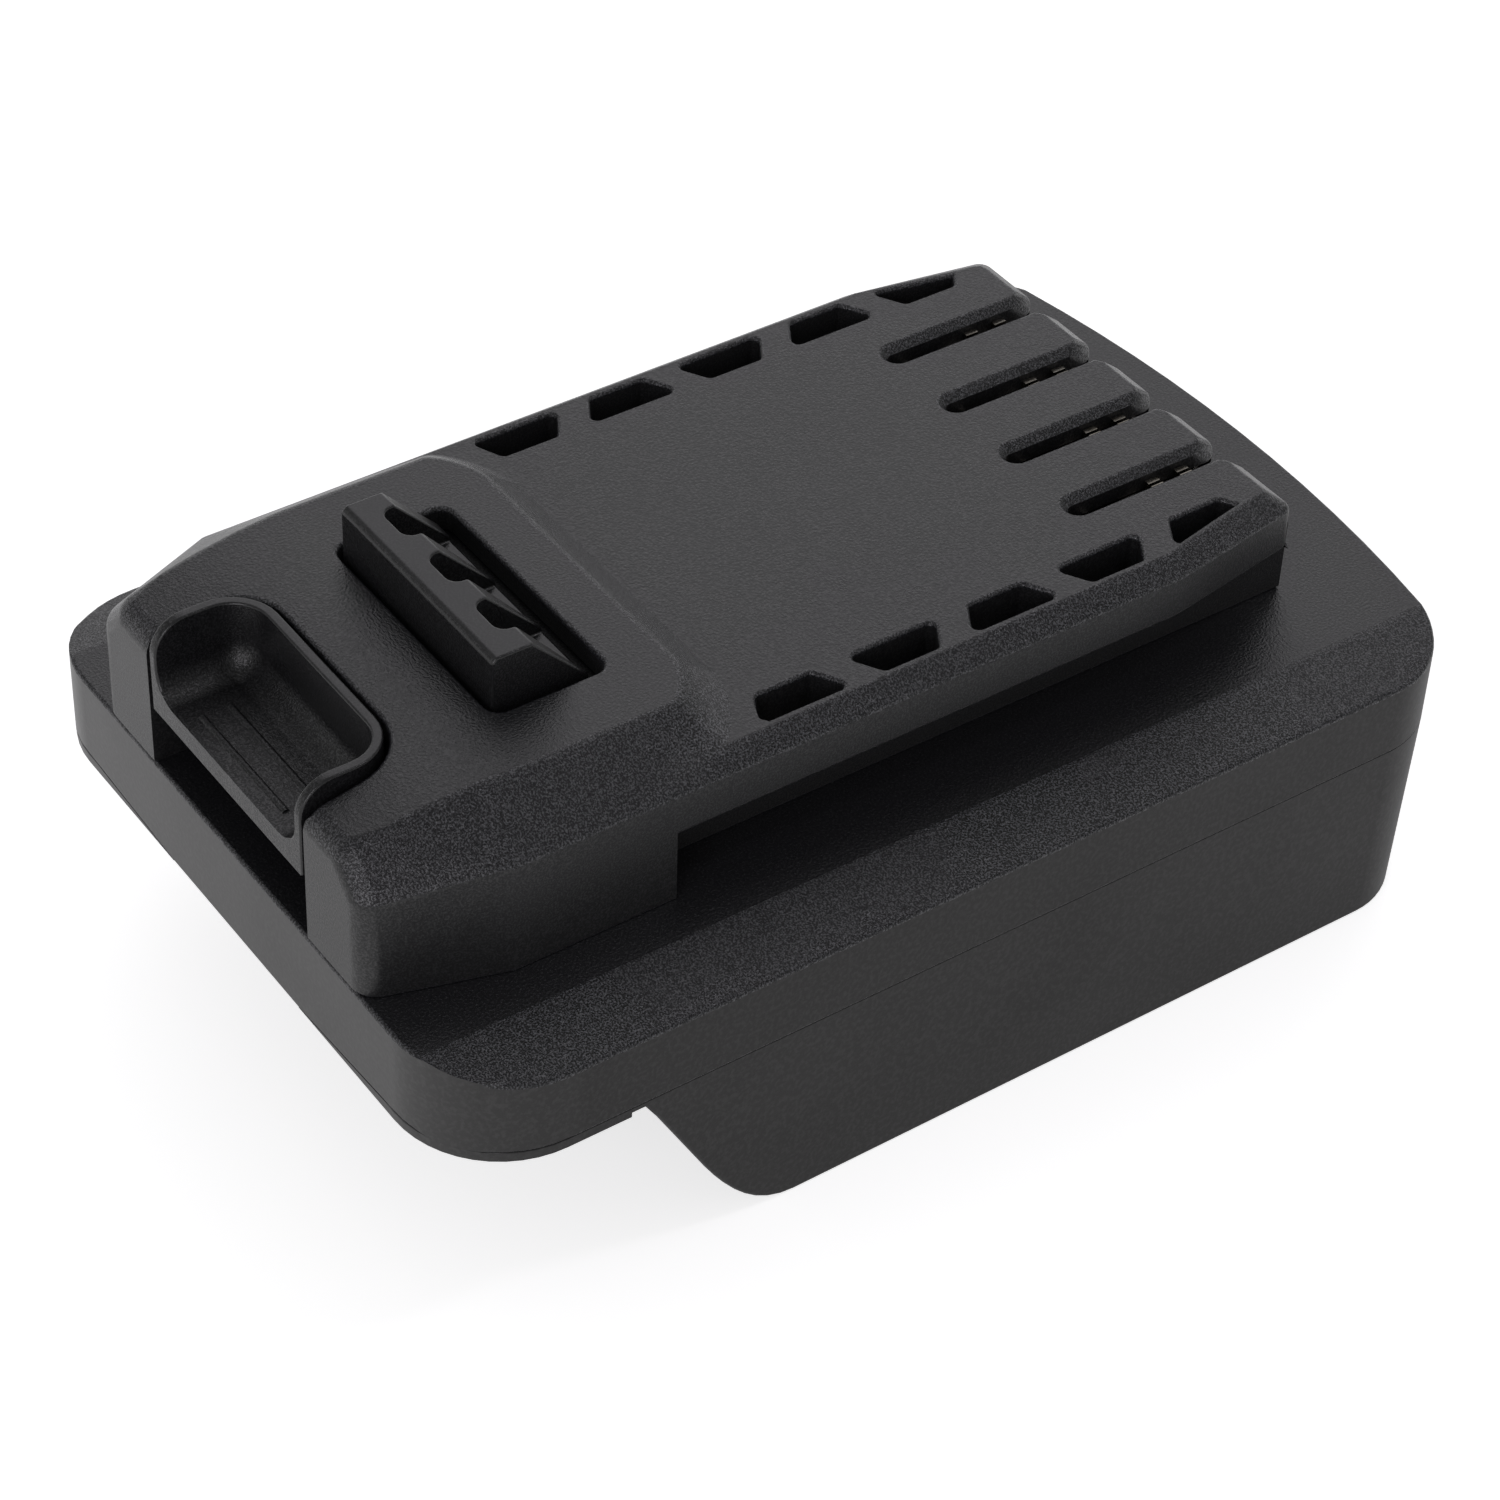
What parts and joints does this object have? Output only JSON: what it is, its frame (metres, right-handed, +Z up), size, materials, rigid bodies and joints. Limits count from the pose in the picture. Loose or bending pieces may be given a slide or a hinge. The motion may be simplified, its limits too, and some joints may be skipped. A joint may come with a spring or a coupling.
{
  "type": "tool battery adapter",
  "caption": "Black moulded adapter with a skirted battery receiver below, slide rails with contact slots on top and a sprung thumb latch.",
  "frame": {"origin": "on the plane that the skirt stands on, under the middle of the body", "axes": "+X across, +Y from the thumb latch to the contacts, +Z up from the battery side to the tool side"},
  "size_m": [0.078, 0.118, 0.0533],
  "materials": {
    "housing": "fine moulded grain",
    "latch": "satin",
    "inner_moulding": "satin",
    "steel": "zinc plated",
    "copper_alloy": "satin",
    "red_insulation": "smooth",
    "grey_insulation": "smooth",
    "black_insulation": "smooth"
  },
  "bodies": {
    "adapter_body": {"lower_housing": "housing", "upper_housing": "housing", "tool_rail_cover": "housing", "latch_spring_left": "steel", "latch_spring_right": "steel", "housing_screws": "steel", "cover_screws": "steel", "carrier_screws": "steel", "terminal_screws": "steel", "contact_carrier": "inner_moulding", "terminal_block": "inner_moulding", "tool_clip_positive": "copper_alloy", "tool_clip_signal_a": "copper_alloy", "tool_clip_signal_b": "copper_alloy", "tool_clip_negative": "copper_alloy", "battery_blade_positive": "copper_alloy", "battery_blade_signal_a": "copper_alloy", "battery_blade_signal_b": "copper_alloy", "battery_blade_negative": "copper_alloy", "lead_positive": "red_insulation", "lead_signal_a": "grey_insulation", "lead_signal_b": "grey_insulation", "lead_negative": "black_insulation"},
    "latch": {"release_latch": "latch"}
  },
  "joints": [
    {"name": "latch_press", "type": "slide", "parent": "adapter_body", "child": "latch", "axis": [0, 0, -1], "range_m": [0, 0.0052], "stiffness_N_per_m": 1500, "springref_m": -0.003, "deforming": ["latch_spring_left", "latch_spring_right"]}
  ]
}
